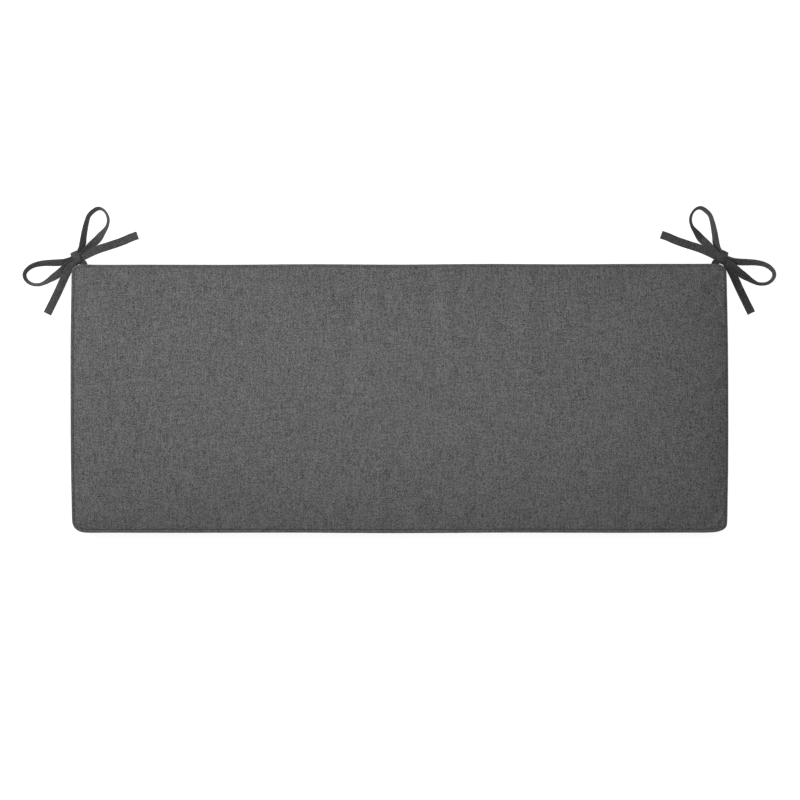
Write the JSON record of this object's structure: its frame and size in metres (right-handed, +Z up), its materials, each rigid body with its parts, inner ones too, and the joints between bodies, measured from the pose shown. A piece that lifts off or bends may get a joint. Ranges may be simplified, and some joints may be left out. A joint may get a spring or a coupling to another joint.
{
  "type": "bench cushion",
  "caption": "Flat boxed cushion for a garden bench, with corded seams round both faces, a gently crowned top and bow-tied strips at the rear corners.",
  "frame": {"origin": "centre of the flat underside, on the surface that the cushion lies on", "axes": "+X to the right along the long side, +Y to the rear, where the ties are, +Z up through the cushion"},
  "size_m": [1.268, 0.5497, 0.0634],
  "materials": {
    "cover": "matt charcoal grey plain weave of mixed light and dark yarns, with fine slubs",
    "piping": "the same cloth, cut on the bias round a cord",
    "ties": "the same cloth, folded to a flat strip and stitched near both edges"
  },
  "bodies": {
    "root": {"cushion": "cover", "piping_upper": "piping", "piping_lower": "piping", "tie_left": "ties", "tie_right": "ties"}
  },
  "joints": []
}
